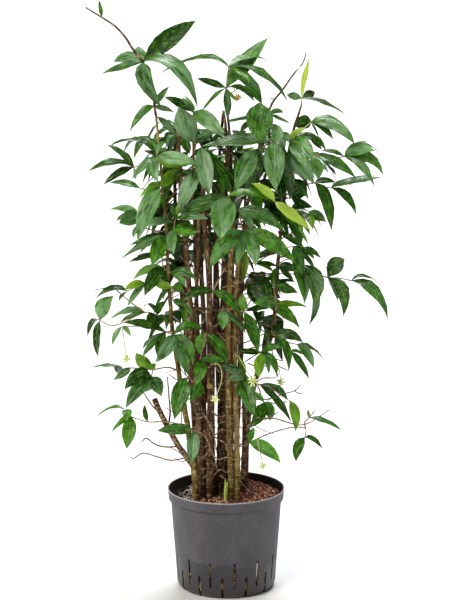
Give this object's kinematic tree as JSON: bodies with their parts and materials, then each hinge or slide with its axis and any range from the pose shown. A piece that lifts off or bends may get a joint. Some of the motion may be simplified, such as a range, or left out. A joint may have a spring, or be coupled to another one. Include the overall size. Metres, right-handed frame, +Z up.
{
  "type": "potted gold-dust dracaena",
  "caption": "Bushy potted dracaena with thin upright canes, whorls of pointed leaves and hanging flower balls, in a slotted round culture pot of clay granules.",
  "frame": {"origin": "middle of the flat underside of the pot, on the surface it stands on", "axes": "+Z up along the canes; -Y is the front, where the hanging front leaves are; +X is to the viewer's right"},
  "size_m": [0.5622, 0.3534, 1.1059],
  "materials": {
    "pot_plastic": "dark grey moulded polypropylene, matte, with a pale worn lip",
    "clay_granules": "porous unglazed expanded clay pellets",
    "cane_bark": "smooth brown-grey bark with leaf-scar rings",
    "green_cane": "young olive-green bark",
    "leaf": "waxy leathery blade, dark green with pale specks",
    "young_stem": "smooth pale green shoot",
    "flower": "dry papery florets in a ball"
  },
  "bodies": {
    "root": {"culture_pot": "pot_plastic", "clay_granules": "clay_granules", "left_cane": "cane_bark", "left_pair": "cane_bark", "middle_canes": "cane_bark", "dark_canes": "cane_bark", "golden_pair": "green_cane", "right_cane": "cane_bark", "dark_cane": "cane_bark", "centre_pair": "cane_bark", "rear_right_cane": "cane_bark", "rear_pair": "cane_bark", "rear_left_cane": "cane_bark", "pruned_branch": "cane_bark", "young_shoot": "young_stem", "crown_left": "leaf", "upper_left": "leaf", "centre_top": "leaf", "front_upper_right": "leaf", "right_top": "leaf", "right_upper": "leaf", "right_mid_upper": "leaf", "right_arm": "leaf", "centre_upper": "leaf", "centre_left": "leaf", "left_upper": "leaf", "left_shoulder": "leaf", "left_arm": "leaf", "left_inner": "leaf", "centre_spray": "leaf", "centre_right": "leaf", "yellow_spray": "leaf", "right_lower_arm": "leaf", "left_middle": "leaf", "left_inner_low": "leaf", "left_low_arm": "leaf", "left_long_arm": "leaf", "left_hip": "leaf", "front_spray": "leaf", "front_low": "leaf", "right_middle": "leaf", "right_long_arm": "leaf", "right_low": "leaf", "right_hip": "leaf", "centre_low": "leaf", "centre_low_right": "leaf", "left_low": "leaf", "left_foot": "leaf", "left_low_inner": "leaf", "left_low_pair": "leaf", "right_foot_upper": "leaf", "right_foot": "leaf", "rear_left_foliage": "leaf", "rear_centre_foliage": "leaf", "rear_right_foliage": "leaf", "flower_ball_left": "flower", "flower_ball_low": "flower", "flower_ball_centre": "flower", "flower_ball_right": "flower", "flower_ball_foot": "flower"}
  },
  "joints": []
}
